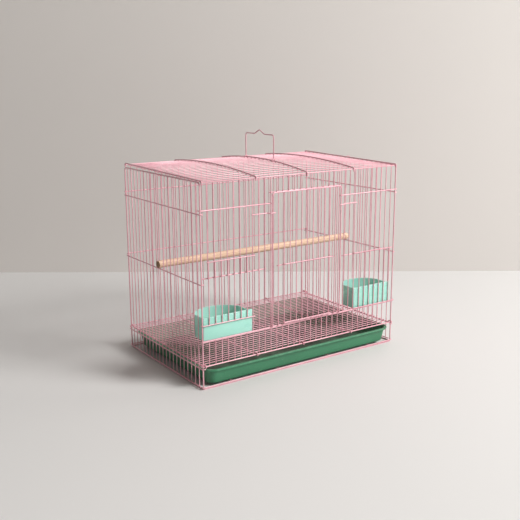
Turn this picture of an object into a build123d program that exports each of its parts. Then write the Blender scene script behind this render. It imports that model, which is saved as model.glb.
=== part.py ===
from build123d import *
from math import atan, cos, degrees, hypot, pi, sin, tan
import os

# A wire breeding cage for small cage birds. Welded wire panels stand on a closed base wire,
# with a sliding nest door, a hatch in that door, two feeder doors with cups, a perch,
# a pull-out tray and a folding handle.
#
# +Z is up, +Y runs from the front to the back, +X is to the right seen from the front.
# The origin is on the floor, in the middle of the outline seen from above.
# All sizes are millimetres. A wire's place is that of its centre line.

os.makedirs("parts", exist_ok=True)

# ---- overall sizes -------------------------------------------------------------------------
WIDTH = 450.0  # between the outermost bars of the front
DEPTH = 283.5  # between the front bars and the back bars
TOP_Z = 365.0  # the side rails and the front's top wire
BACK_STEP = 5.5  # the back's top wire stands this far above the front's
ROOF_CROWN = 10.4  # rise of the roof's middle above the line between its edges

# ---- wire radii ----------------------------------------------------------------------------
BAR_R = 0.85
CROSS_R = 1.05
FRAME_R = 1.25
DOOR_R = 0.9
RING_WIRE_R = 0.7

# ---- gaps ----------------------------------------------------------------------------------
WELD_GAP = 0.05  # between wires that are welded to each other
REST_GAP = 0.3  # under a piece that only rests
TRAY_SILL_GAP = 0.2  # between the tray and the wires that it slides over
SLIDE_GAP = 0.35  # between wires that slide past each other
HOOK_GAP = 0.2  # between the hatch's hooks and the bars they ride on
ROOF_GAP = 0.25  # between the bowed roof wires and the ribs
END_GAP = 0.15  # between a wire's cut end and the wire across it

# ---- wire counts ---------------------------------------------------------------------------
FRONT_SPACES = 34
SIDE_SPACES = 21
ROOF_SPACES = 21
GRATE_SPACES = 30
FEEDER_GUIDE = 8  # the feeder opening runs from the corner post to this bar
NEST_GUIDE = 11  # the nest door's legs stand in front of this bar and its mirror
HATCH_GUIDE = 13  # the hatch's hooks ride on this bar of the nest door and its mirror

# ---- heights -------------------------------------------------------------------------------
SUPPORT_Z = 3 * FRAME_R + WELD_GAP  # tray support wires, lying on the base wire
TRAY_Z = SUPPORT_Z + FRAME_R + REST_GAP  # underside of the tray
SILL_Z = TRAY_Z - TRAY_SILL_GAP - CROSS_R  # lowest cross wires, which the tray slides over
SIDE_FLOOR_Z = 38.2
GRILLE_Z = 43.0  # thick wire over the tray slot
LOWER_Z = 88.2  # sill of all three door openings
SIDE_MID_Z = 190.3
BACK_MID_Z = 194.0
FRONT_MID_Z = 199.7  # head of the feeder openings
NEST_MID_Z = 203.0  # head of the hatch's opening, in the nest door
FINGER_Z = TOP_Z - 64.0
SIDE_UPPER_Z = TOP_Z - 53.5
UPPER_Z = TOP_Z - 47.2
HEADER_Z = TOP_Z - 28.3  # head of the nest door's opening
HATCH_FOOT = 4.0  # from the nest door's lowest wire up to the hatch's

# ---- bends ---------------------------------------------------------------------------------
GRATE_DIP = 4.2  # the grate's ribs drop this far inside the wires that they hook over
RAIL_BEND = 6.0
BASE_BEND = 3.0
DOOR_BEND = 2.2
HOOK_TAIL = 4.0  # how far a cross wire runs on past the corner post it hooks round
TIP = 0.5  # how far a door's hook runs on past the middle of its guide bar

# ---- tray ----------------------------------------------------------------------------------
TRAY_SIDE_GAP = 3.0  # to the corner posts
TRAY_FRONT_REACH = 8.0  # how far the rim stands out of the front
TRAY_BACK_GAP = 1.5  # to the back bars
TRAY_H = 29.0
TRAY_WALL = 1.6
TRAY_FLANGE = 4.0
TRAY_DRAFT = 7.0  # how far the walls lean in from the rim to the floor
TRAY_CORNER = 25.0
TRAY_LIP = 3.0

# ---- feeder cups ---------------------------------------------------------------------------
CUP_H = 41.0
CUP_WALL = 1.5
CUP_STRAIGHT = 32.0
CUP_DEPTH = 60.0
CUP_WING = 8.0  # the front plate stands this far past the bowl on one side
CUP_WIDTH = {"left": 101.5, "right": 95.5}
CUP_SIDE_GAP = 0.5  # from the front plate to the wire on its left
CUP_RECESS = 0.1  # the plate stands this far behind the bars' outer faces

# ---- perch, handle and rings ---------------------------------------------------------------
PERCH_R = 6.9
PERCH_BAR = 11  # the side bar that the perch's end slots straddle
PERCH_END = 2.0  # how far the perch runs on past the side cross wires
HANDLE_H = 48.0
HANDLE_PEAK = 8.0
HANDLE_NOTCH = 16.5
HANDLE_FEET = (-3, 4)  # gaps between roof wires, counted from the middle one
FOOT_GAP = 0.95
LEFT_DOOR_LIFT = 27.0  # the left feeder door is parked this far above its sill
RING_OPENING = 50.0  # degrees left open in a closed hog ring

# ---- what follows from them ----------------------------------------------------------------
FRONT_LAYER = BAR_R + CROSS_R + WELD_GAP  # from the bars' plane to the cross wires on them
THICK_LAYER = BAR_R + FRAME_R + WELD_GAP
POST_INSET = FRAME_R - BAR_R  # keeps the posts' outer faces flush with the bars'

FEEDER_BAR_OUT = BAR_R + SLIDE_GAP + DOOR_R
FEEDER_WIRE_OUT = FEEDER_BAR_OUT + 2 * DOOR_R + WELD_GAP
RIB_HOOK_OUT = CROSS_R + FRAME_R + WELD_GAP
NEST_BAR_OUT = RIB_HOOK_OUT + FRAME_R + REST_GAP + DOOR_R
NEST_WIRE_OUT = NEST_BAR_OUT - 2 * DOOR_R - WELD_GAP
NEST_FRAME_OUT = NEST_BAR_OUT - DOOR_R + FRAME_R
HATCH_BAR_OUT = NEST_BAR_OUT + 2 * DOOR_R + REST_GAP
HATCH_WIRE_OUT = HATCH_BAR_OUT + 2 * DOOR_R + WELD_GAP
FINGER_OUT = NEST_FRAME_OUT + FRAME_R + REST_GAP + CROSS_R

GRATE_HOOK_OUT = THICK_LAYER + 2 * FRAME_R + WELD_GAP
FRONT_REACH = max(HATCH_WIRE_OUT + DOOR_R, FINGER_OUT + CROSS_R, TRAY_FRONT_REACH)
BACK_REACH = GRATE_HOOK_OUT + FRAME_R
FRONT_Y = (FRONT_REACH - BACK_REACH - DEPTH) / 2
BACK_Y = FRONT_Y + DEPTH
MID_Y = (FRONT_Y + BACK_Y) / 2
SIDE_X = WIDTH / 2
POST_X = SIDE_X - POST_INSET

FRONT_PITCH = WIDTH / FRONT_SPACES
SIDE_PITCH = DEPTH / SIDE_SPACES
ROOF_PITCH = DEPTH / ROOF_SPACES
GRATE_PITCH = DEPTH / GRATE_SPACES

BASE_TOP = 2 * FRAME_R + WELD_GAP
SILL_TOP = LOWER_Z + CROSS_R  # what the doors and cups rest on
DOOR_BOTTOM_Z = SILL_TOP + SLIDE_GAP + DOOR_R
FEEDER_TOP_Z = FRONT_MID_Z + CROSS_R + SLIDE_GAP + DOOR_R
HATCH_TOP_Z = NEST_MID_Z + 2 * DOOR_R + REST_GAP
HATCH_BOTTOM_Z = DOOR_BOTTOM_Z + HATCH_FOOT
RIB_Z = TOP_Z + CROSS_R + FRAME_R + WELD_GAP
ROOF_WIRE_Z = RIB_Z - FRAME_R - BAR_R - ROOF_GAP
GRATE_HOOK_Z = GRILLE_Z + 2 * FRAME_R + WELD_GAP
GRATE_RIB_Z = GRATE_HOOK_Z - GRATE_DIP
GRATE_WIRE_Z = GRATE_RIB_Z + FRAME_R + BAR_R + WELD_GAP
ROOF_END_RIB_X = POST_X - 2 * FRAME_R - WELD_GAP
GRATE_END_RIB_X = POST_X - 2 * FRAME_R - REST_GAP


def front_x(index):
    """Place of a front or back bar; 0 and FRONT_SPACES are the corner posts."""
    return index * FRONT_PITCH - SIDE_X


def mid_space_x(index):
    """Middle of the space between a front bar and the next one to its right."""
    return front_x(index + 0.5)


def side_y(index):
    """Place of a side bar, counted from the front."""
    return FRONT_Y + index * SIDE_PITCH


def roof_rise(x, y):
    """Height of the domed roof above its front edge, which is lower than its back edge."""
    across = 1 - (x / SIDE_X) ** 2
    along = (y - FRONT_Y) / DEPTH
    return BACK_STEP * along + ROOF_CROWN * across * 4 * along * (1 - along)


def rod(start, end, radius):
    """A straight round wire, added to the part being built."""
    run = Vector(*end) - Vector(*start)
    with BuildSketch(Plane(origin=start, z_dir=run)) as section:
        Circle(radius)
    extrude(section.sketch, amount=run.length)


def upright_rods(places, low, high, radius):
    """Vertical wires at the given (x, y) places."""
    with BuildSketch(Plane.XY.offset(low)) as sections:
        with Locations(*places):
            Circle(radius)
    extrude(sections.sketch, amount=high - low)


def bent_wire(points, bend, radius):
    """A round wire along straight runs joined by bends."""
    with BuildLine() as route:
        FilletPolyline(*points, radius=bend)
    with BuildSketch(Plane(origin=route.line @ 0, z_dir=route.line % 0)) as section:
        Circle(radius)
    sweep(section.sketch, path=route.line)


def hooked_wire(z, layer, back=False):
    """A front or back cross wire whose two ends hook round the corner posts."""
    outward = 1 if back else -1
    wall = BACK_Y if back else FRONT_Y
    wire_r = layer - BAR_R - WELD_GAP
    y = wall + outward * layer
    tail_y = wall - outward * HOOK_TAIL
    x = SIDE_X + layer
    bent_wire([(-x, tail_y, z), (-x, y, z), (x, y, z), (x, tail_y, z)], layer + POST_INSET, wire_r)


# ============================================================================================
# Fixed cage
# ============================================================================================

# ---- closed base wire, flat on the floor
with BuildPart() as base_ring:
    front_corners = [(-SIDE_X, FRONT_Y, FRAME_R), (SIDE_X, FRONT_Y, FRAME_R)]
    back_corners = [(SIDE_X, BACK_Y, FRAME_R), (-SIDE_X, BACK_Y, FRAME_R)]
    with BuildLine() as base_route:
        FilletPolyline(*front_corners, *back_corners, radius=BASE_BEND, close=True)
    with BuildSketch(Plane(origin=base_route.wire() @ 0, z_dir=base_route.wire() % 0)):
        Circle(FRAME_R)
    sweep(path=base_route.wire())
base_ring.part.label = "base_ring"
export_step(base_ring.part, "parts/base_ring.step")

# ---- wires across the base that carry the tray, each in the space after a back bar
SUPPORT_SPACES = (4, 12, 21, 29)
SUPPORT_OVERHANG = FRONT_LAYER - CROSS_R - END_GAP
with BuildPart() as tray_supports:
    for space in SUPPORT_SPACES:
        x = mid_space_x(space)
        rod((x, FRONT_Y - SUPPORT_OVERHANG, SUPPORT_Z), (x, BACK_Y + SUPPORT_OVERHANG, SUPPORT_Z), FRAME_R)
tray_supports.part.label = "tray_supports"
export_step(tray_supports.part, "parts/tray_supports.step")

# ---- side panels: one bent frame wire, its bars, and cross wires hooked round the posts
for side, sign in (("left", -1), ("right", 1)):
    with BuildPart() as side_frame:
        post_front = FRONT_Y + POST_INSET
        post_back = BACK_Y - POST_INSET
        x = sign * POST_X
        front_post = [(x, post_front, BASE_TOP), (x, post_front, TOP_Z)]
        back_post = [(x, post_back, TOP_Z), (x, post_back, BASE_TOP)]
        bent_wire(front_post + back_post, RAIL_BEND, FRAME_R)
    side_frame.part.label = f"side_frame_{side}"
    export_step(side_frame.part, f"parts/side_frame_{side}.step")

    with BuildPart() as side_bars:
        bar_places = [(sign * SIDE_X, side_y(index)) for index in range(1, SIDE_SPACES)]
        upright_rods(bar_places, BASE_TOP, TOP_Z - FRAME_R - WELD_GAP, BAR_R)
    side_bars.part.label = f"side_bars_{side}"
    export_step(side_bars.part, f"parts/side_bars_{side}.step")

    with BuildPart() as side_cross_wires:
        x = sign * (SIDE_X + FRONT_LAYER)
        tail_x = sign * (SIDE_X - HOOK_TAIL)
        for z in (SIDE_FLOOR_Z, SIDE_MID_Z, SIDE_UPPER_Z):
            front = FRONT_Y - FRONT_LAYER
            back = BACK_Y + FRONT_LAYER
            bent_wire(
                [(tail_x, front, z), (x, front, z), (x, back, z), (tail_x, back, z)],
                FRONT_LAYER + POST_INSET,
                CROSS_R,
            )
        rod((x, FRONT_Y + SIDE_PITCH / 2, SILL_Z), (x, BACK_Y - SIDE_PITCH / 2, SILL_Z), CROSS_R)
    side_cross_wires.part.label = f"side_cross_wires_{side}"
    export_step(side_cross_wires.part, f"parts/side_cross_wires_{side}.step")

# ---- front panel: whole bars beside the doors, short bars under and over the openings
LAST = FRONT_SPACES
FEEDER_BARS = [*range(1, FEEDER_GUIDE), *range(LAST - FEEDER_GUIDE + 1, LAST)]
NEST_BARS = list(range(NEST_GUIDE + 1, LAST - NEST_GUIDE))
WHOLE_BARS = [index for index in range(1, LAST) if index not in FEEDER_BARS + NEST_BARS]
BAR_FOOT_Z = GRILLE_Z - FRAME_R
BAR_HEAD_Z = TOP_Z - CROSS_R - WELD_GAP


def front_places(indices, out=0.0):
    """Bar places in a plane that stands in front of the front bars."""
    return [(front_x(index), FRONT_Y - out) for index in indices]


with BuildPart() as front_bars:
    upright_rods(front_places(WHOLE_BARS), BAR_FOOT_Z, BAR_HEAD_Z, BAR_R)
    upright_rods(front_places(FEEDER_BARS + NEST_BARS), BAR_FOOT_Z, SILL_TOP, BAR_R)
    upright_rods(front_places(FEEDER_BARS), FRONT_MID_Z - CROSS_R, BAR_HEAD_Z, BAR_R)
    upright_rods(front_places(NEST_BARS), HEADER_Z - CROSS_R, BAR_HEAD_Z, BAR_R)
front_bars.part.label = "front_bars"
export_step(front_bars.part, "parts/front_bars.step")

# The head wires of the openings lie inside the bars, clear of the sliding doors.
TOP_WIRE_X = POST_X - FRAME_R - WELD_GAP
MID_START_X = POST_X - FRAME_R - CROSS_R
MID_STOP = 9.9  # the openings' head wires stop this far from the nest door's guide bars
MID_END_X = front_x(LAST - NEST_GUIDE) + MID_STOP
HEADER_OVERHANG = 3.0
with BuildPart() as front_cross_wires:
    for z in (SILL_Z, LOWER_Z):
        hooked_wire(z, FRONT_LAYER)
    hooked_wire(GRILLE_Z, THICK_LAYER)
    rod((-TOP_WIRE_X, FRONT_Y, TOP_Z), (TOP_WIRE_X, FRONT_Y, TOP_Z), CROSS_R)
    inside = FRONT_Y + FRONT_LAYER
    header_x = front_x(LAST - NEST_GUIDE) + HEADER_OVERHANG
    rod((-header_x, inside, HEADER_Z), (header_x, inside, HEADER_Z), CROSS_R)
    for sign in (-1, 1):
        rod((sign * MID_START_X, inside, FRONT_MID_Z), (sign * MID_END_X, inside, FRONT_MID_Z), CROSS_R)
        outside = FRONT_Y - FRONT_LAYER
        outer_x = sign * (SIDE_X + FRONT_LAYER)
        bent_wire(
            [
                (outer_x, FRONT_Y + HOOK_TAIL, UPPER_Z),
                (outer_x, outside, UPPER_Z),
                (sign * front_x(LAST - NEST_GUIDE), outside, UPPER_Z),
            ],
            FRONT_LAYER + POST_INSET,
            CROSS_R,
        )
front_cross_wires.part.label = "front_cross_wires"
export_step(front_cross_wires.part, "parts/front_cross_wires.step")

# ---- fingers that hold the nest door's legs against the front
FINGER_START = 3.0
FINGER_RISE = (10.0, 5.5)
FINGER_PAST = 5.0
FINGER_BEND = 2.5
with BuildPart() as door_guide_fingers:
    for sign in (-1, 1):
        leg_x = front_x(LAST - NEST_GUIDE)
        finger = [
            (front_x(LAST - FEEDER_GUIDE) + FINGER_START, FRONT_LAYER),
            (leg_x + FINGER_RISE[0], FRONT_LAYER),
            (leg_x + FINGER_RISE[1], FINGER_OUT),
            (leg_x - FINGER_PAST, FINGER_OUT),
        ]
        bent_wire([(sign * x, FRONT_Y - out, FINGER_Z) for x, out in finger], FINGER_BEND, CROSS_R)
door_guide_fingers.part.label = "door_guide_fingers"
export_step(door_guide_fingers.part, "parts/door_guide_fingers.step")

# ---- back panel
with BuildPart() as back_bars:
    back_places = [(front_x(index), BACK_Y) for index in range(1, LAST)]
    upright_rods(back_places, BASE_TOP, BAR_HEAD_Z + BACK_STEP, BAR_R)
back_bars.part.label = "back_bars"
export_step(back_bars.part, "parts/back_bars.step")

with BuildPart() as back_cross_wires:
    for z in (SILL_Z, BACK_MID_Z, UPPER_Z):
        hooked_wire(z, FRONT_LAYER, back=True)
    hooked_wire(GRILLE_Z, THICK_LAYER, back=True)
    back_top_z = TOP_Z + BACK_STEP
    rod((-SIDE_X, BACK_Y, back_top_z), (SIDE_X, BACK_Y, back_top_z), CROSS_R)
back_cross_wires.part.label = "back_cross_wires"
export_step(back_cross_wires.part, "parts/back_cross_wires.step")

# ---- domed roof panel: bowed wires under five ribs that hook over the top wires
RIB_PLACES = (-ROOF_END_RIB_X, -WIDTH / 4, 0.0, WIDTH / 4, ROOF_END_RIB_X)
ROOF_WIRE_X = POST_X - FRAME_R - REST_GAP
RIB_HOOK_DROP = 5.0
with BuildPart() as roof_wires:
    for index in range(1, ROOF_SPACES):
        y = FRONT_Y + index * ROOF_PITCH
        edge = ROOF_WIRE_Z + roof_rise(SIDE_X, y)
        crest = ROOF_WIRE_Z + roof_rise(0, y)
        with BuildLine() as bow:
            ThreePointArc((-ROOF_WIRE_X, y, edge), (0, y, crest), (ROOF_WIRE_X, y, edge))
        with BuildSketch(Plane(origin=bow.line @ 0, z_dir=bow.line % 0)):
            Circle(BAR_R)
        sweep(path=bow.line)
roof_wires.part.label = "roof_wires"
export_step(roof_wires.part, "parts/roof_wires.step")


def rib_hook(x, wire_y, wire_z, outward, lean):
    """Tip, start, middle and end of a rib's hook round a top wire, up to where its arch begins."""
    turns = (pi / 2, pi / 4 + lean / 2, lean)
    bend = [
        (x, wire_y + outward * RIB_HOOK_OUT * sin(turn), wire_z + RIB_HOOK_OUT * cos(turn)) for turn in turns
    ]
    return (x, wire_y + outward * RIB_HOOK_OUT, wire_z - RIB_HOOK_DROP), *bend


def arched_rib(x, rise):
    """A roof rib: a hook round the front top wire, an arch, and a hook round the higher back one."""
    tilt = atan(BACK_STEP / DEPTH)
    lean = 2 * atan(2 * rise / DEPTH)
    front_tip, front_start, front_bend, front_end = rib_hook(x, FRONT_Y, TOP_Z, -1, lean + tilt)
    back_tip, back_start, back_bend, back_end = rib_hook(x, BACK_Y, TOP_Z + BACK_STEP, 1, lean - tilt)
    chord = Vector(*back_end) - Vector(*front_end)
    middle = Vector(*front_end) + chord * 0.5
    crest = middle + Vector(0, -sin(tilt), cos(tilt)) * (chord.length / 2 * tan(lean / 2))
    with BuildLine() as route:
        Line(front_tip, front_start)
        ThreePointArc(front_start, front_bend, front_end)
        if rise > 0:
            ThreePointArc(front_end, crest, back_end)
        else:
            Line(front_end, back_end)
        ThreePointArc(back_end, back_bend, back_start)
        Line(back_start, back_tip)
    with BuildSketch(Plane(origin=route.line @ 0, z_dir=route.line % 0)) as section:
        Circle(FRAME_R)
    sweep(section.sketch, path=route.line)


with BuildPart() as roof_ribs:
    for x in RIB_PLACES:
        is_end = abs(x) == ROOF_END_RIB_X
        arched_rib(x, 0 if is_end else roof_rise(x, MID_Y) - BACK_STEP / 2)
roof_ribs.part.label = "roof_ribs"
export_step(roof_ribs.part, "parts/roof_ribs.step")

# ---- floor grate above the tray: wires on five ribs hooked over the panels' thick wires
GRATE_RIB_SPACES = (8, 16, 25)
GRATE_RIB_PLACES = (-GRATE_END_RIB_X, *map(mid_space_x, GRATE_RIB_SPACES), GRATE_END_RIB_X)
GRATE_WIRE_X = SIDE_X - BAR_R - REST_GAP
GRATE_HOOK_DROP = 2.0
GRATE_DIP_START = 1.0  # the dip begins this far inside the bars
GRATE_BEND = 2.0
with BuildPart() as grate_wires:
    for index in range(1, GRATE_SPACES):
        y = FRONT_Y + index * GRATE_PITCH
        rod((-GRATE_WIRE_X, y, GRATE_WIRE_Z), (GRATE_WIRE_X, y, GRATE_WIRE_Z), BAR_R)
grate_wires.part.label = "grate_wires"
export_step(grate_wires.part, "parts/grate_wires.step")

with BuildPart() as grate_ribs:
    for x in GRATE_RIB_PLACES:
        half = [
            (GRATE_HOOK_OUT, GRILLE_Z - GRATE_HOOK_DROP),
            (GRATE_HOOK_OUT, GRATE_HOOK_Z),
            (-GRATE_DIP_START, GRATE_HOOK_Z),
            (-GRATE_DIP_START - GRATE_DIP, GRATE_RIB_Z),
        ]
        route = [(x, FRONT_Y - out, z) for out, z in half]
        route += [(x, BACK_Y + out, z) for out, z in reversed(half)]
        bent_wire(route, GRATE_BEND, FRAME_R)
grate_ribs.part.label = "grate_ribs"
export_step(grate_ribs.part, "parts/grate_ribs.step")

# ---- hog rings that tie the roof's and the grate's end ribs to the side panels
RING_GAP = 0.15


def hog_ring(wire_a, wire_b, radius_a, radius_b, y):
    """An open ring across Y, closed round two wires given by their (x, z)."""
    reach = hypot(wire_b[0] - wire_a[0], wire_b[1] - wire_a[1])
    ring_r = (reach + radius_a + radius_b) / 2 + RING_GAP + RING_WIRE_R
    middle = Vector((wire_a[0] + wire_b[0]) / 2, y, (wire_a[1] + wire_b[1]) / 2)
    inward = Vector(-1 if middle.X > 0 else 1, 0, 0)
    start = inward.rotate(Axis.Y, RING_OPENING / 2)
    with BuildSketch(Plane(origin=middle, x_dir=start, z_dir=start.cross(Vector(0, 1, 0)))) as section:
        with Locations((ring_r, 0)):
            Circle(RING_WIRE_R)
    revolve(section.sketch, axis=Axis(middle, (0, 1, 0)), revolution_arc=360 - RING_OPENING)


with BuildPart() as hog_rings:
    grate_ring_y = FRONT_Y + GRATE_SPACES // 2 * GRATE_PITCH + BAR_R + RING_WIRE_R + SLIDE_GAP
    for sign in (-1, 1):
        rail = (sign * POST_X, TOP_Z)
        end_rib = (sign * ROOF_END_RIB_X, RIB_Z + roof_rise(SIDE_X, MID_Y))
        hog_ring(rail, end_rib, FRAME_R, FRAME_R, MID_Y)
        side_wire = (sign * (SIDE_X + FRONT_LAYER), SIDE_FLOOR_Z)
        hog_ring(side_wire, (sign * GRATE_END_RIB_X, GRATE_RIB_Z), CROSS_R, FRAME_R, grate_ring_y)
hog_rings.part.label = "hog_rings"
export_step(hog_rings.part, "parts/hog_rings.step")

# ============================================================================================
# Sliding doors
# ============================================================================================

# ---- nest door: an inverted U with bars, a bottom wire hooked round two front bars
NEST_LEG_X = front_x(LAST - NEST_GUIDE)
NEST_HOOK = BAR_R + SLIDE_GAP + DOOR_R
FULL_NEST_BARS = [i for i in NEST_BARS if i <= HATCH_GUIDE or i >= LAST - HATCH_GUIDE]
HATCH_BARS = [i for i in NEST_BARS if i not in FULL_NEST_BARS]
NEST_MID_OVERHANG = 2.0
with BuildPart() as nest_door_frame:
    y = FRONT_Y - NEST_FRAME_OUT
    foot = DOOR_BOTTOM_Z - DOOR_R
    left_leg = [(-NEST_LEG_X, y, foot), (-NEST_LEG_X, y, HEADER_Z)]
    right_leg = [(NEST_LEG_X, y, HEADER_Z), (NEST_LEG_X, y, foot)]
    bent_wire(left_leg + right_leg, RAIL_BEND, FRAME_R)
nest_door_frame.part.label = "nest_door_frame"
export_step(nest_door_frame.part, "parts/nest_door_frame.step")

with BuildPart() as nest_door_bars:
    head = HEADER_Z - FRAME_R - WELD_GAP
    upright_rods(front_places(FULL_NEST_BARS, NEST_BAR_OUT), DOOR_BOTTOM_Z - DOOR_R, head, DOOR_R)
    upright_rods(front_places(HATCH_BARS, NEST_BAR_OUT), NEST_MID_Z - DOOR_R, head, DOOR_R)
nest_door_bars.part.label = "nest_door_bars"
export_step(nest_door_bars.part, "parts/nest_door_bars.step")

with BuildPart() as nest_door_cross_wires:
    y = FRONT_Y - NEST_WIRE_OUT
    inside = FRONT_Y + NEST_HOOK
    mid_x = front_x(NEST_BARS[-1]) + NEST_MID_OVERHANG
    rod((-mid_x, y, NEST_MID_Z), (mid_x, y, NEST_MID_Z), DOOR_R)
    tip_x = NEST_LEG_X - TIP
    hook_x = NEST_LEG_X + NEST_HOOK
    half = [(tip_x, inside), (hook_x, inside), (hook_x, y)]
    route = [(-x, wire_y, DOOR_BOTTOM_Z) for x, wire_y in half]
    route += [(x, wire_y, DOOR_BOTTOM_Z) for x, wire_y in reversed(half)]
    bent_wire(route, DOOR_BEND, DOOR_R)
nest_door_cross_wires.part.label = "nest_door_cross_wires"
export_step(nest_door_cross_wires.part, "parts/nest_door_cross_wires.step")

# ---- hatch: slides up on two bars of the nest door and rests on its middle wire
HATCH_HOOK = DOOR_R + HOOK_GAP + DOOR_R
with BuildPart() as hatch_bars:
    places = front_places(HATCH_BARS, HATCH_BAR_OUT)
    upright_rods(places, HATCH_BOTTOM_Z - DOOR_R, HATCH_TOP_Z + DOOR_R, DOOR_R)
hatch_bars.part.label = "hatch_bars"
export_step(hatch_bars.part, "parts/hatch_bars.step")

with BuildPart() as hatch_cross_wires:
    y = FRONT_Y - HATCH_WIRE_OUT
    behind = FRONT_Y - NEST_BAR_OUT + HATCH_HOOK
    guide_x = front_x(LAST - HATCH_GUIDE)
    half = [(guide_x - TIP, behind), (guide_x + HATCH_HOOK, behind), (guide_x + HATCH_HOOK, y)]
    for z in (HATCH_BOTTOM_Z, HATCH_TOP_Z):
        route = [(-x, wire_y, z) for x, wire_y in half]
        route += [(x, wire_y, z) for x, wire_y in reversed(half)]
        bent_wire(route, HATCH_HOOK, DOOR_R)
hatch_cross_wires.part.label = "hatch_cross_wires"
export_step(hatch_cross_wires.part, "parts/hatch_cross_wires.step")

# ---- feeder doors: bars behind two cross wires; hooks ride on one bar, an elbow on the post
FEEDER_HOOK = BAR_R + SLIDE_GAP + DOOR_R
FEEDER_END = 4.5
ELBOW_X = POST_X + FRAME_R + SLIDE_GAP + DOOR_R
ELBOW_DEPTH = 1.0
for side, sign, lift in (("left", -1, LEFT_DOOR_LIFT), ("right", 1, 0.0)):
    bottom = DOOR_BOTTOM_Z + lift
    top = FEEDER_TOP_Z + lift
    with BuildPart() as feeder_door_bars:
        places = [
            (sign * front_x(LAST - index), FRONT_Y - FEEDER_BAR_OUT) for index in range(1, FEEDER_GUIDE)
        ]
        upright_rods(places, bottom - DOOR_R, top + DOOR_R, DOOR_R)
    feeder_door_bars.part.label = f"feeder_door_{side}_bars"
    export_step(feeder_door_bars.part, f"parts/feeder_door_{side}_bars.step")

    with BuildPart() as feeder_door_cross_wires:
        y = FRONT_Y - FEEDER_WIRE_OUT
        guide_x = front_x(LAST - FEEDER_GUIDE)
        hook = [
            (guide_x + TIP, FRONT_Y + FEEDER_HOOK),
            (guide_x - FEEDER_HOOK, FRONT_Y + FEEDER_HOOK),
            (guide_x - FEEDER_HOOK, y),
        ]
        plain_end = [(front_x(LAST - 1) + FEEDER_END, y)]
        elbow_end = [(ELBOW_X, y), (ELBOW_X, FRONT_Y + ELBOW_DEPTH)]
        for z, end in ((top, plain_end), (bottom, elbow_end)):
            bent_wire([(sign * x, wire_y, z) for x, wire_y in hook + end], DOOR_BEND, DOOR_R)
    feeder_door_cross_wires.part.label = f"feeder_door_{side}_cross_wires"
    export_step(feeder_door_cross_wires.part, f"parts/feeder_door_{side}_cross_wires.step")

# ============================================================================================
# Loose pieces
# ============================================================================================

# ---- feeder cups: a flat front plate with a D-shaped bowl behind it
CUP_Z = SILL_TOP + REST_GAP
CUP_FRONT_Y = FRONT_Y - BAR_R + CUP_RECESS
CUP_X = {  # left edge of each front plate, beside the corner post and beside a bar
    "left": -POST_X + FRAME_R + CUP_SIDE_GAP,
    "right": front_x(LAST - FEEDER_GUIDE) + BAR_R + CUP_SIDE_GAP,
}
for side in ("left", "right"):
    bowl_w = CUP_WIDTH[side] - CUP_WING
    left_x = CUP_X[side]
    right_x = left_x + bowl_w
    joint_y = CUP_FRONT_Y + CUP_WALL / 2
    bend_y = CUP_FRONT_Y + CUP_STRAIGHT
    back = ((left_x + right_x) / 2, CUP_FRONT_Y + CUP_DEPTH)
    with BuildPart() as feeder_cup:
        with BuildSketch(Plane.XY.offset(CUP_Z)):
            with BuildLine():
                Polyline((left_x, bend_y), (left_x, joint_y), (right_x, joint_y), (right_x, bend_y))
                ThreePointArc((left_x, bend_y), back, (right_x, bend_y))
            make_face()
        extrude(amount=CUP_H)
        mouth = feeder_cup.faces().sort_by(Axis.Z)[-1]
        offset(amount=-CUP_WALL, openings=mouth)
        with BuildSketch(Plane.XY.offset(CUP_Z)):
            with Locations((left_x, CUP_FRONT_Y)):
                Rectangle(CUP_WIDTH[side], CUP_WALL, align=(Align.MIN, Align.MIN))
        extrude(amount=CUP_H)
    feeder_cup.part.label = f"feeder_cup_{side}"
    export_step(feeder_cup.part, f"parts/feeder_cup_{side}.step")

# ---- perch: a dowel whose end slots straddle one bar of each side, resting on the cross wires
PERCH_Z = SIDE_MID_Z + CROSS_R + REST_GAP + PERCH_R
PERCH_HALF = SIDE_X + FRONT_LAYER + CROSS_R + PERCH_END
SLOT_W = 2 * (BAR_R + REST_GAP)
SLOT_H = 3 * PERCH_R  # more than the dowel's thickness, to cut right through
PERCH_CHAMFER = 0.6
with BuildPart() as perch:
    y = side_y(PERCH_BAR)
    rod((-PERCH_HALF, y, PERCH_Z), (PERCH_HALF, y, PERCH_Z), PERCH_R)
    chamfer(perch.edges().filter_by(GeomType.CIRCLE), length=PERCH_CHAMFER)
    slot_depth = PERCH_HALF - SIDE_X + BAR_R + REST_GAP
    with Locations((-PERCH_HALF, y, PERCH_Z), (PERCH_HALF, y, PERCH_Z)):
        Box(2 * slot_depth, SLOT_W, SLOT_H, mode=Mode.SUBTRACT)
perch.part.label = "perch"
export_step(perch.part, "parts/perch.step")

# ---- tray: drafted walls, a flat flange and a turned-down lip
TRAY_W = 2 * (POST_X - FRAME_R - TRAY_SIDE_GAP)
TRAY_FRONT_Y = FRONT_Y - TRAY_FRONT_REACH
TRAY_BACK_Y = BACK_Y - BAR_R - TRAY_BACK_GAP
TRAY_L = TRAY_BACK_Y - TRAY_FRONT_Y
TRAY_MID_Y = (TRAY_FRONT_Y + TRAY_BACK_Y) / 2
TRAY_RIM_Z = TRAY_Z + TRAY_H
TRAY_ANGLE = degrees(atan(TRAY_DRAFT / TRAY_H))
TRAY_FLOOR_ROUND = 3.0


def tray_outline(inset, z):
    """The tray's rounded outline, set in from its rim."""
    with BuildSketch(Plane.XY.offset(z)) as outline:
        with Locations((0, TRAY_MID_Y)):
            RectangleRounded(TRAY_W - 2 * inset, TRAY_L - 2 * inset, TRAY_CORNER - inset)
    return outline.sketch


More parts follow.
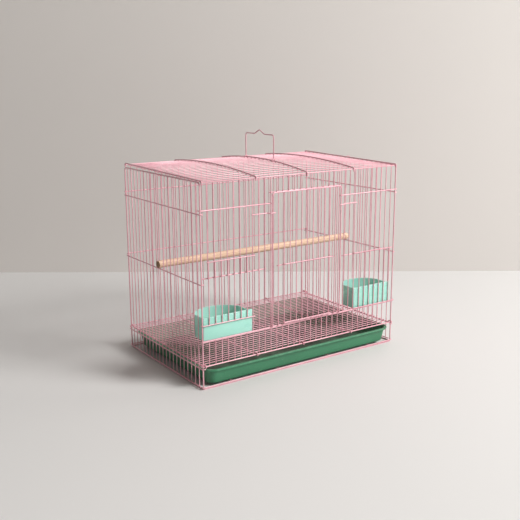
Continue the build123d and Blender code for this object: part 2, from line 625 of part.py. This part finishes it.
with BuildPart() as tray:
    body_inset = TRAY_FLANGE
    extrude(tray_outline(body_inset, TRAY_RIM_Z), amount=TRAY_H, dir=(0, 0, -1), taper=TRAY_ANGLE)
    fillet(tray.faces().sort_by(Axis.Z)[0].edges(), radius=TRAY_FLOOR_ROUND)
    hollow_inset = body_inset + TRAY_WALL
    hollow_depth = TRAY_H - TRAY_WALL
    extrude(
        tray_outline(hollow_inset, TRAY_RIM_Z),
        amount=hollow_depth,
        dir=(0, 0, -1),
        taper=TRAY_ANGLE,
        mode=Mode.SUBTRACT,
    )
    flange = tray_outline(0, TRAY_RIM_Z) - tray_outline(hollow_inset, TRAY_RIM_Z)
    extrude(flange, amount=TRAY_WALL, dir=(0, 0, -1))
    lip = tray_outline(0, TRAY_RIM_Z) - tray_outline(TRAY_WALL, TRAY_RIM_Z)
    extrude(lip, amount=TRAY_LIP, dir=(0, 0, -1))
tray.part.label = "tray"
export_step(tray.part, "parts/tray.step")

# ---- handle: one bent wire whose eyes turn on the middle roof rib
FOOT_Y = [MID_Y + gap * ROOF_PITCH for gap in HANDLE_FEET]
HANDLE_Y = sum(FOOT_Y) / 2
PIVOT_Z = RIB_Z + sum(roof_rise(0, y) for y in FOOT_Y) / 2
EYE_R = FRAME_R + FOOT_GAP + CROSS_R
HANDLE_BEND = 5.0
with BuildPart() as handle:
    foot_z = PIVOT_Z + EYE_R
    top_z = PIVOT_Z + HANDLE_H
    bent_wire(
        [
            (0, FOOT_Y[0], foot_z),
            (0, FOOT_Y[0], top_z),
            (0, HANDLE_Y - HANDLE_NOTCH, top_z),
            (0, HANDLE_Y, top_z + HANDLE_PEAK),
            (0, HANDLE_Y + HANDLE_NOTCH, top_z),
            (0, FOOT_Y[1], top_z),
            (0, FOOT_Y[1], foot_z),
        ],
        HANDLE_BEND,
        CROSS_R,
    )
    with Locations(*[(0, y, PIVOT_Z) for y in FOOT_Y]):
        Torus(EYE_R, CROSS_R, rotation=(90, 0, 0))
handle.part.label = "handle"
export_step(handle.part, "parts/handle.step")
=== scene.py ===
from itertools import product
from math import cos, radians, sin

import bpy
from mathutils import Matrix, Vector
from mathutils.bvhtree import BVHTree


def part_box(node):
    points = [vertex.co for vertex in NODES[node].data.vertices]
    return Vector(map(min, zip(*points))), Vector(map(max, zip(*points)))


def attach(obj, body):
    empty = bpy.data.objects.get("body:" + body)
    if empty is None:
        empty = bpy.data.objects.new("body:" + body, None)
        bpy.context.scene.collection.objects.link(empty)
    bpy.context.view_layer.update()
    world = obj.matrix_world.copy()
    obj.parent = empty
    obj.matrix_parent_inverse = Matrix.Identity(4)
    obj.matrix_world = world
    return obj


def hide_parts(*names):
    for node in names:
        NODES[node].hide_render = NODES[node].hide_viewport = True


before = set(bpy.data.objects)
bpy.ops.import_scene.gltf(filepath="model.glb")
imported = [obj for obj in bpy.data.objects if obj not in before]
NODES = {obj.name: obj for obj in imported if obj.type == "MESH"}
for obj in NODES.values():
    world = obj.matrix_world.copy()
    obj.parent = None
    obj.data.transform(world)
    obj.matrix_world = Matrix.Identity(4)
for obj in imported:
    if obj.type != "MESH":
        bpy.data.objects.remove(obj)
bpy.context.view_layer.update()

# A pink wire breeding cage. The frame brings the wires, cups, perch and tray at their places.
# This script gives them their finishes, and adds the weld beads, the rounded cut ends of the
# wires and the moulded edges of the plastic.
# Metres, in the frame's own axes: +Z up, the doors face -Y.

MM = 0.001

# Weld beads, where a bar lies on a cross wire
CONTACT_GAP = 0.32 * MM
SEARCH_STEP = 0.6 * MM
BEAD_SPACING = 2.2 * MM
BEAD_SEGMENTS, BEAD_RINGS = 8, 5
CAGE_BEAD = {"radius": 1.1 * MM, "height": 0.55 * MM}
DOOR_BEAD = {"radius": 0.95 * MM, "height": 0.5 * MM}

# Rounded edges
MERGE_DISTANCE = 0.002 * MM
FLAT_ANGLE = radians(0.5)
SMOOTH_ANGLE = radians(40)
MOULD_ANGLE = radians(35)
CUT_ANGLE = radians(60)
CUP_EDGE = 0.45 * MM
TRAY_EDGE = 0.5 * MM
CUT_EDGE = 0.28 * MM

# Moulded plastic: the paler patchy band under a rim, and the depth that light reaches into the cups
RIM_BAND = 3 * MM
GLOW_DEPTH = 5.0 * MM

# Litter dust and painted shade on the tray's floor: the floor's thickness, how far its inner edge
# lies inside the rim, how far above and below the floor's surface the dark tint reaches, and where
# it thins out
TRAY_FLOOR = 1.6 * MM
TRAY_LEAN = 12.2 * MM
DUST_AND_SHADE_DEPTH = 0.6 * MM
DUST_AND_SHADE_SIDE_FADE = 12 * MM
DUST_AND_SHADE_TOP_FADE = 0.2 * MM
DUST_AND_SHADE_TINT = (0.048, 0.052, 0.038)

# The perch: how far the middle of the growth rings lies from the dowel's own middle, and how far
# from its ends the dark end grain starts and is full
PITH_BACK, PITH_DOWN = 19 * MM, 27 * MM
END_GRAIN_START, END_GRAIN_FULL = 1.2 * MM, 0.3 * MM

# Studio
CAMERA_PLACE = Vector((-0.87635, -1.24774, 0.53286))
CAMERA_TURN = (radians(76.871), radians(0.19), radians(-34.951))
CAMERA_LENS = 53.99
SENSOR_WIDTH = 36.0
FLOOR_SIZE = 9.0
WALL_DISTANCE = 2.14      # from the camera
WALL_HEIGHT = 3.0
FLOOR_PAINT = (0.70, 0.695, 0.69)
WALL_PAINT = (0.68, 0.65, 0.625)
KEY_PLACE = Vector((2.15, -3.25, 2.85))
KEY_TARGET = Vector((0, 0, 0.15))
KEY_SIZE = 1.4
KEY_POWER = 254
KEY_COLOUR = (1.0, 0.988, 0.968)
SKY_COLOUR = (0.82, 0.775, 0.735)
SKY_STRENGTH = 0.24


# ---- how a finish is put together ---------------------------------------------------------------

# A Mix node has sockets for each kind of data: these are the factor's and the colours'.
MIX_FACTOR, MIX_FIRST, MIX_SECOND, MIX_RESULT = 0, 6, 7, 2


class Finish:
    """A material under construction: one Principled shader and the nodes that feed it."""

    def __init__(self, name):
        self.material = bpy.data.materials.new(name)
        self.material.use_nodes = True
        self.tree = self.material.node_tree
        self.shader = self.tree.nodes["Principled BSDF"]
        self.place = self.add("ShaderNodeTexCoord").outputs["Object"]

    def add(self, kind, **settings):
        node = self.tree.nodes.new(kind)
        for name, value in settings.items():
            setattr(node, name, value)
        return node

    def join(self, source, target):
        self.tree.links.new(source, target)

    def put(self, value, socket):
        """Links an output to a socket, or sets the socket to a number, vector or colour."""
        if isinstance(value, bpy.types.NodeSocket):
            self.join(value, socket)
        elif socket.type == "RGBA":
            socket.default_value = (*value, 1)
        else:
            socket.default_value = value

    def feed(self, node, **values):
        """Links or sets a node's inputs by name."""
        for name, value in values.items():
            self.put(value, node.inputs[name.replace("_", " ")])

    def set(self, **values):
        """Links or sets the shader's inputs by name."""
        self.feed(self.shader, **values)

    def shifted(self, centre=(0, 0, 0), stretch=(1, 1, 1), turn=(0, 0, 0)):
        """The object's own coordinates, moved to a centre, turned and stretched."""
        mapping = self.add("ShaderNodeMapping", vector_type="TEXTURE")
        inverse = tuple(1 / s for s in stretch)
        self.feed(mapping, Vector=self.place, Location=centre, Rotation=turn, Scale=inverse)
        return mapping.outputs["Vector"]

    def noise(self, scale, detail=2.0, roughness=0.5, where=None, distortion=0.0):
        node = self.add("ShaderNodeTexNoise")
        self.feed(
            node, Vector=where or self.place, Scale=scale, Detail=detail, Roughness=roughness,
            Distortion=distortion,
        )
        return node.outputs["Fac"]

    def ramp(self, fac, *stops):
        """Colours at given places along a value from 0 to 1."""
        node = self.add("ShaderNodeValToRGB")
        band = node.color_ramp.elements
        while len(band) < len(stops):
            band.new(0.5)
        for element, (place, colour) in zip(band, stops):
            element.position = place
            element.color = (*colour, 1)
        self.join(fac, node.inputs["Fac"])
        return node.outputs["Color"]

    def math(self, operation, first, second=0.0, clamp=False):
        node = self.add("ShaderNodeMath", operation=operation, use_clamp=clamp)
        self.put(first, node.inputs[0])
        self.put(second, node.inputs[1])
        return node.outputs[0]

    def times(self, first, second):
        return self.math("MULTIPLY", first, second)

    def mix(self, fac, first, second):
        node = self.add("ShaderNodeMix", data_type="RGBA")
        self.put(fac, node.inputs[MIX_FACTOR])
        self.put(first, node.inputs[MIX_FIRST])
        self.put(second, node.inputs[MIX_SECOND])
        return node.outputs[MIX_RESULT]

    def stained(self, colour, stain, mask, strength):
        """A colour with a stain over it, at the given strength where the mask is 1."""
        return self.mix(self.times(mask, strength), colour, stain)

    def span(self, value, low, high, to_low=0.0, to_high=1.0):
        """Maps a value from one range to another, smoothly and clamped."""
        node = self.add("ShaderNodeMapRange", interpolation_type="SMOOTHSTEP")
        self.feed(
            node, Value=value, From_Min=low, From_Max=high, To_Min=to_low, To_Max=to_high
        )
        return node.outputs["Result"]

    def axis(self, letter, where=None):
        node = self.add("ShaderNodeSeparateXYZ")
        self.join(where or self.place, node.inputs[0])
        return node.outputs[letter]

    def bumps(self, *layers):
        """Stacks (height, strength, distance) layers onto the surface."""
        normal = None
        for height, strength, distance in layers:
            node = self.add("ShaderNodeBump")
            self.feed(node, Height=height, Strength=strength, Distance=distance)
            if normal:
                self.join(normal, node.inputs["Normal"])
            normal = node.outputs["Normal"]
        self.join(normal, self.shader.inputs["Normal"])


# ---- kinds of finish ----------------------------------------------------------------------------

def coated_wire(name, light, deep, gloss):
    """Satin powder coat on drawn wire: cloudy thickness, orange peel and small thin spots."""
    finish = Finish(name)
    cloud = finish.noise(38, detail=3)
    colour = finish.ramp(cloud, (0.32, deep), (0.68, light))

    speck = finish.span(finish.noise(1500, detail=1), 0.70, 0.78)
    dusty = tuple(0.45 + 0.5 * c for c in light)
    colour = finish.stained(colour, dusty, speck, 0.5)

    thin = finish.span(finish.noise(210, detail=4, roughness=0.65), 0.67, 0.74)
    worn = tuple(0.62 * c for c in deep)
    colour = finish.stained(colour, worn, thin, 0.55)

    peel = finish.noise(900, detail=2, roughness=0.4)
    drawn = finish.noise(130, detail=2)
    finish.set(
        Base_Color=colour,
        Roughness=finish.span(drawn, 0.3, 0.7, *gloss),
        Coat_Weight=1.0,
        Coat_Roughness=0.34,
        Specular_IOR_Level=0.5,
    )
    finish.bumps((peel, 0.35, 0.12 * MM), (thin, 0.4, -0.08 * MM))
    return finish.material


def dust_and_shade_on_floor(finish, low, high):
    """Where litter dust and painted shade darken the tray's floor: patchy, inside the given box,
    thinning towards its sides.
    """
    half = (high - low) / 2
    place = finish.shifted(centre=(low + high) / 2)
    cover = finish.span(finish.noise(34, detail=5, roughness=0.65), 0.34, 0.62, 0.55, 0.92)
    for letter, reach, fade in (
        ("X", half.x, DUST_AND_SHADE_SIDE_FADE),
        ("Y", half.y, DUST_AND_SHADE_SIDE_FADE),
        ("Z", half.z, DUST_AND_SHADE_TOP_FADE),
    ):
        off = finish.math("ABSOLUTE", finish.axis(letter, place))
        cover = finish.times(cover, finish.span(off, reach, reach - fade))
    return cover


def moulded_plastic(name, light, deep, scuff, gloss, rim_z, glow=0.0, dust_and_shade_box=None):
    """Injection-moulded plastic: flow clouds, spark texture, hair scratches and a paler patchy rim.
    """
    finish = Finish(name)
    flow = finish.noise(
        9, detail=4, roughness=0.55, where=finish.shifted(stretch=(1, 1, 2.5)), distortion=0.6
    )
    colour = finish.ramp(flow, (0.3, deep), (0.7, light))

    spark = finish.noise(2200, detail=1)
    colour = finish.mix(finish.span(spark, 0.62, 0.75, 0, 0.22), colour, scuff)

    # A band just under the rim, by height, paler in patches.
    at_rim = finish.span(finish.axis("Z"), rim_z - RIM_BAND, rim_z)
    patchy = finish.span(finish.noise(160, detail=5, roughness=0.7), 0.45, 0.62)
    rim_paling = finish.times(at_rim, patchy)
    colour = finish.stained(colour, scuff, rim_paling, 0.3)

    along = finish.shifted(stretch=(14, 420, 420), turn=(0, 0, radians(24)))
    across = finish.shifted(stretch=(380, 12, 380), turn=(0, 0, radians(-17)))
    hairs = finish.math(
        "MAXIMUM",
        finish.span(finish.noise(1, detail=1, where=along), 0.70, 0.76),
        finish.span(finish.noise(1, detail=1, where=across), 0.72, 0.78),
    )
    colour = finish.stained(colour, scuff, hairs, 0.16)

    dull = finish.math("ADD", finish.span(flow, 0.3, 0.7, *gloss), finish.times(rim_paling, 0.25))
    dull = finish.math("ADD", dull, finish.times(hairs, 0.15), clamp=True)
    # The tray's floor darkened in patches: litter dust and painted shade under the grate.
    if dust_and_shade_box:
        dust_and_shade = dust_and_shade_on_floor(finish, *dust_and_shade_box)
        colour = finish.mix(dust_and_shade, colour, DUST_AND_SHADE_TINT)
        dull = finish.math("MAXIMUM", dull, finish.times(dust_and_shade, 0.8))

    finish.set(Base_Color=colour, Roughness=dull, Specular_IOR_Level=0.5)
    if glow:
        finish.set(
            Subsurface_Weight=glow, Subsurface_Radius=(1.0, 1.0, 0.9), Subsurface_Scale=GLOW_DEPTH
        )
    sink = finish.noise(26, detail=1)
    finish.bumps((sink, 0.35, 1.2 * MM), (spark, 0.2, 0.06 * MM), (hairs, 0.25, -0.05 * MM))
    return finish.material


def dowel_wood(name, centre, half_length):
    """A turned birch dowel: growth rings cut lengthwise, pores along the grain, dark end grain."""
    finish = Finish(name)

    def streaks(detail, stretch, roughness=0.5):
        """Noise drawn out along the dowel."""
        return finish.noise(
            1, detail=detail, roughness=roughness, where=finish.shifted(centre, stretch)
        )

    wander = streaks(2, (9, 45, 45))
    rings = finish.add(
        "ShaderNodeTexWave", wave_type="RINGS", rings_direction="X", wave_profile="SIN"
    )
    pith = (centre.x, centre.y + PITH_BACK, centre.z - PITH_DOWN)
    finish.feed(
        rings, Vector=finish.shifted(pith), Scale=130.0, Distortion=3.0, Detail=2.0,
        Detail_Scale=1.6, Detail_Roughness=0.55,
    )
    ring = rings.outputs["Fac"]
    grain = finish.mix(0.5, ring, wander)
    colour = finish.ramp(
        grain,
        (0.22, (0.72, 0.475, 0.33)),
        (0.5, (0.79, 0.55, 0.395)),
        (0.78, (0.85, 0.625, 0.465)),
    )

    pores = streaks(3, (70, 2300, 2300), roughness=0.6)
    colour = finish.stained(colour, (0.36, 0.19, 0.09), finish.span(pores, 0.60, 0.72), 0.45)
    flecks = streaks(2, (160, 900, 900))
    colour = finish.stained(colour, (0.85, 0.68, 0.47), finish.span(flecks, 0.66, 0.74), 0.35)
    grime = finish.span(finish.noise(24, detail=4, roughness=0.6), 0.5, 0.75, 0, 0.22)
    colour = finish.mix(grime, colour, (0.43, 0.28, 0.17))

    reach = finish.math("ABSOLUTE", finish.axis("X", finish.shifted(centre)))
    end = finish.span(reach, half_length - END_GRAIN_START, half_length - END_GRAIN_FULL)
    end_grain = finish.mix(ring, (0.16, 0.085, 0.045), (0.30, 0.18, 0.10))
    colour = finish.stained(colour, end_grain, end, 0.85)

    rough = finish.math("ADD", finish.span(grain, 0.2, 0.8, 0.62, 0.48), finish.times(end, 0.25))
    finish.set(Base_Color=colour, Roughness=rough, Specular_IOR_Level=0.35)
    lathe_marks = streaks(1, (900, 60, 60))
    finish.bumps((pores, 0.5, 0.16 * MM), (ring, 0.25, 0.10 * MM), (lathe_marks, 0.2, 0.08 * MM))
    return finish.material


def studio_paint(name, colour, one_sided=False):
    """Matt studio paint. A one-sided wall is seen from the room only, and clear from behind."""
    finish = Finish(name)
    lighter = tuple(min(1, c * 1.02) for c in colour)
    shade = finish.ramp(finish.noise(0.8, detail=2), (0.3, colour), (0.7, lighter))
    finish.set(Base_Color=shade, Roughness=0.75)
    finish.bumps((finish.noise(260, detail=3), 0.04, 0.2 * MM))
    if one_sided:
        clear = finish.add("ShaderNodeBsdfTransparent")
        choice = finish.add("ShaderNodeMixShader")
        finish.join(finish.add("ShaderNodeNewGeometry").outputs["Backfacing"], choice.inputs[0])
        finish.join(finish.shader.outputs[0], choice.inputs[1])
        finish.join(clear.outputs[0], choice.inputs[2])
        finish.join(choice.outputs[0], finish.tree.nodes["Material Output"].inputs["Surface"])
    return finish.material


# ---- weld beads ---------------------------------------------------------------------------------

def nothing_selected():
    if bpy.context.object and bpy.context.object.mode != "OBJECT":
        bpy.ops.object.mode_set(mode="OBJECT")
    bpy.ops.object.select_all(action="DESELECT")


def surface_of(node):
    """A search tree over a node's surface."""
    mesh = NODES[node].data
    points = [vertex.co for vertex in mesh.vertices]
    return BVHTree.FromPolygons(points, [tuple(face.vertices) for face in mesh.polygons])


def near_points(bars, cross_wires):
    """Places on the bars close to a cross wire: (distance, place, surface direction there)."""
    tree = surface_of(bars)
    near = []
    for node in cross_wires:
        mesh = NODES[node].data
        for edge in mesh.edges:
            start, end = (mesh.vertices[i].co for i in edge.vertices)
            count = max(1, int((end - start).length / SEARCH_STEP))
            for index in range(count + 1):
                probe = start.lerp(end, index / count)
                hit, normal, _, distance = tree.find_nearest(probe, CONTACT_GAP)
                if hit is not None:
                    near.append((distance, hit, normal))
    return near


def crossings(bars, cross_wires):
    """Where bars and cross wires are welded: the nearest place of each contact, and its normal."""
    near = near_points(bars, cross_wires)
    near.sort(key=lambda contact: contact[0])
    neighbours = list(product((-1, 0, 1), repeat=3))
    found = {}
    for _, hit, normal in near:
        cell = tuple(round(c / BEAD_SPACING) for c in hit)
        around = (tuple(c + n for c, n in zip(cell, offset)) for offset in neighbours)
        if all((hit - found[key][0]).length > BEAD_SPACING for key in around if key in found):
            found[cell] = (hit, normal)
    return list(found.values())


def bead_pattern(radius, height):
    """One weld bead: a flattened drop, fuller in the middle than at its edge."""
    nothing_selected()
    bpy.ops.mesh.primitive_uv_sphere_add(
        segments=BEAD_SEGMENTS, ring_count=BEAD_RINGS, radius=radius
    )
    pattern = bpy.context.object
    bpy.ops.object.mode_set(mode="EDIT")
    bpy.ops.mesh.select_all(action="SELECT")
    bpy.ops.transform.resize(value=(1, 1, height / radius))
    bpy.ops.mesh.vertices_smooth(factor=0.2)
    bpy.ops.object.mode_set(mode="OBJECT")
    bpy.ops.object.shade_smooth()
    return pattern


def weld_beads(name, body, bars, cross_wires, radius, height):
    """Beads where a node's bars are welded to cross wires, all as one piece."""
    pattern = bead_pattern(radius, height)
    copies = []
    for hit, facing in crossings(bars, cross_wires):
        copy = pattern.copy()
        copy.data = pattern.data.copy()
        turn = facing.to_track_quat("Z", "Y").to_matrix().to_4x4()
        copy.data.transform(Matrix.Translation(hit) @ turn)
        bpy.context.scene.collection.objects.link(copy)
        copies.append(copy)
    bpy.data.objects.remove(pattern)
    nothing_selected()
    for copy in copies:
        copy.select_set(True)
    bpy.context.view_layer.objects.active = copies[0]
    bpy.ops.object.join()
    beads = bpy.context.object
    beads.name = name
    beads.data.materials.append(PINK)
    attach(beads, body)


# ---- rounded edges ------------------------------------------------------------------------------

def softened(node, name, body, material, edge, segments, angle):
    """A piece with the node's shape, its edges sharper than the angle rounded."""
    nothing_selected()
    piece = bpy.data.objects.new(name, NODES[node].data.copy())
    bpy.context.scene.collection.objects.link(piece)
    piece.select_set(True)
    bpy.context.view_layer.objects.active = piece
    bpy.ops.object.mode_set(mode="EDIT")
    bpy.ops.mesh.select_all(action="SELECT")
    bpy.ops.mesh.remove_doubles(threshold=MERGE_DISTANCE)
    bpy.ops.mesh.customdata_custom_splitnormals_clear()
    bpy.ops.mesh.dissolve_limited(angle_limit=FLAT_ANGLE)
    bpy.ops.object.mode_set(mode="OBJECT")
    bevel = piece.modifiers.new("edges", "BEVEL")
    bevel.width = edge
    bevel.segments = segments
    bevel.limit_method = "ANGLE"
    bevel.angle_limit = angle
    bevel.use_clamp_overlap = True
    bpy.ops.object.modifier_apply(modifier=bevel.name)
    bpy.ops.object.shade_smooth_by_angle(angle=SMOOTH_ANGLE)
    piece.data.materials.clear()
    piece.data.materials.append(material)
    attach(piece, body)
    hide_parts(node)


def moulded(node, material, edge):
    """A cup or the tray, its edges rounded as a mould leaves them. Each is its own body."""
    softened(node, f"{node}_moulded", node, material, edge, segments=3, angle=MOULD_ANGLE)


def trimmed(node, body):
    """Wires with their cut ends rounded."""
    softened(
        node, f"{node}_trimmed", body, PINK, CUT_EDGE, segments=2, angle=CUT_ANGLE
    )


# ---- the cage: its finishes ---------------------------------------------------------------------

PINK = coated_wire(
    "pink_powder_coat", light=(0.82, 0.435, 0.50), deep=(0.70, 0.315, 0.385), gloss=(0.26, 0.46)
)
RING_PINK = coated_wire(
    "pink_ring_coat", light=(0.74, 0.36, 0.42), deep=(0.60, 0.24, 0.30), gloss=(0.3, 0.46)
)

cup_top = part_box("feeder_cup_left")[1].z
MINT = moulded_plastic(
    "mint_plastic", light=(0.38, 0.70, 0.61), deep=(0.325, 0.645, 0.56),
    scuff=(0.78, 0.92, 0.86), gloss=(0.24, 0.36), rim_z=cup_top, glow=0.6,
)

tray_low, tray_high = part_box("tray")
floor_z = tray_low.z + TRAY_FLOOR
dust_and_shade_low = Vector((tray_low.x + TRAY_LEAN, tray_low.y + TRAY_LEAN, floor_z - DUST_AND_SHADE_DEPTH))
dust_and_shade_high = Vector((tray_high.x - TRAY_LEAN, tray_high.y - TRAY_LEAN, floor_z + DUST_AND_SHADE_DEPTH))
GREEN = moulded_plastic(
    "green_plastic", light=(0.048, 0.232, 0.118), deep=(0.036, 0.19, 0.094),
    scuff=(0.30, 0.50, 0.37), gloss=(0.30, 0.46), rim_z=tray_high.z, dust_and_shade_box=(dust_and_shade_low, dust_and_shade_high),
)

perch_low, perch_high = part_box("perch")
WOOD = dowel_wood("birch_dowel", (perch_low + perch_high) / 2, (perch_high - perch_low).x / 2)

FINISH_OF = {
    "feeder_cup_left": MINT,
    "feeder_cup_right": MINT,
    "tray": GREEN,
    "perch": WOOD,
    "hog_rings": RING_PINK,
}
for node_name, node in NODES.items():
    for slot in node.material_slots:
        slot.material = FINISH_OF.get(node_name, PINK)


# ---- the cage: beads, moulded pieces and cut ends -----------------------------------------------

# Each piece of beads: its name, the bars, and what they are welded to
CAGE_WELDS = [
    ("front_weld_beads", "front_bars", ["front_cross_wires", "door_guide_fingers"]),
    ("back_weld_beads", "back_bars", ["back_cross_wires", "base_ring"]),
    ("side_weld_beads_left", "side_bars_left", ["side_cross_wires_left", "base_ring"]),
    ("side_weld_beads_right", "side_bars_right", ["side_cross_wires_right", "base_ring"]),
    ("grate_weld_beads", "grate_wires", ["grate_ribs"]),
    ("roof_weld_beads", "roof_wires", ["roof_ribs"]),
]
for name, bars, cross_wires in CAGE_WELDS:
    weld_beads(name, "cage", bars, cross_wires, **CAGE_BEAD)

for door in ("nest_door", "hatch", "feeder_door_left", "feeder_door_right"):
    welded_to = [f"{door}_cross_wires"]
    if door == "nest_door":
        welded_to.append("nest_door_frame")
    weld_beads(f"{door}_weld_beads", door, f"{door}_bars", welded_to, **DOOR_BEAD)

for cup in ("feeder_cup_left", "feeder_cup_right"):
    moulded(cup, MINT, CUP_EDGE)
moulded("tray", GREEN, TRAY_EDGE)

# The nodes that get rounded cut ends, by body
CUT_WIRES = {
    "cage": [
        "front_bars", "front_cross_wires", "door_guide_fingers", "tray_supports", "roof_ribs",
        "roof_wires", "grate_wires", "grate_ribs", "side_cross_wires_left",
        "side_cross_wires_right",
    ],
    "nest_door": ["nest_door_frame", "nest_door_bars", "nest_door_cross_wires"],
    "hatch": ["hatch_bars", "hatch_cross_wires"],
    "feeder_door_left": ["feeder_door_left_bars", "feeder_door_left_cross_wires"],
    "feeder_door_right": ["feeder_door_right_bars", "feeder_door_right_cross_wires"],
}
for body, nodes in CUT_WIRES.items():
    for node_name in nodes:
        trimmed(node_name, body)


# ---- floor, backdrop, light and camera ----------------------------------------------------------

camera_data = bpy.data.cameras.new("camera")
camera_data.lens = CAMERA_LENS
camera_data.sensor_width = SENSOR_WIDTH
camera = bpy.data.objects.new("camera", camera_data)
camera.location = CAMERA_PLACE
camera.rotation_euler = CAMERA_TURN
bpy.context.scene.collection.objects.link(camera)
bpy.context.scene.camera = camera

nothing_selected()
bpy.ops.mesh.primitive_plane_add(size=FLOOR_SIZE, location=(0, 0, 0))
floor = bpy.context.object
floor.name = "studio_floor"
floor.data.materials.append(studio_paint("floor_paint", FLOOR_PAINT))

# The wall stands upright behind the cage, square to the way that the camera looks.
heading = Vector((sin(-CAMERA_TURN[2]), cos(-CAMERA_TURN[2]), 0))
wall_foot = Vector((CAMERA_PLACE.x, CAMERA_PLACE.y, 0)) + heading * WALL_DISTANCE
bpy.ops.mesh.primitive_plane_add(size=1)
wall = bpy.context.object
wall.name = "studio_wall"
wall.scale = (FLOOR_SIZE, WALL_HEIGHT, 1)
wall.rotation_euler = (radians(90), 0, CAMERA_TURN[2])
wall.location = wall_foot + Vector((0, 0, WALL_HEIGHT / 2))
wall.data.materials.append(studio_paint("wall_paint", WALL_PAINT, one_sided=True))

key_data = bpy.data.lights.new("key", "AREA")
key_data.shape = "SQUARE"
key_data.size = KEY_SIZE
key_data.energy = KEY_POWER
key_data.color = KEY_COLOUR
key = bpy.data.objects.new("key", key_data)
key.location = KEY_PLACE
key.rotation_euler = (KEY_TARGET - KEY_PLACE).to_track_quat("-Z", "Y").to_euler()
bpy.context.scene.collection.objects.link(key)

world = bpy.data.worlds.new("studio")
world.use_nodes = True
sky = world.node_tree.nodes["Background"]
sky.inputs["Color"].default_value = (*SKY_COLOUR, 1)
sky.inputs["Strength"].default_value = SKY_STRENGTH
bpy.context.scene.world = world
bpy.context.scene.view_settings.view_transform = "Standard"
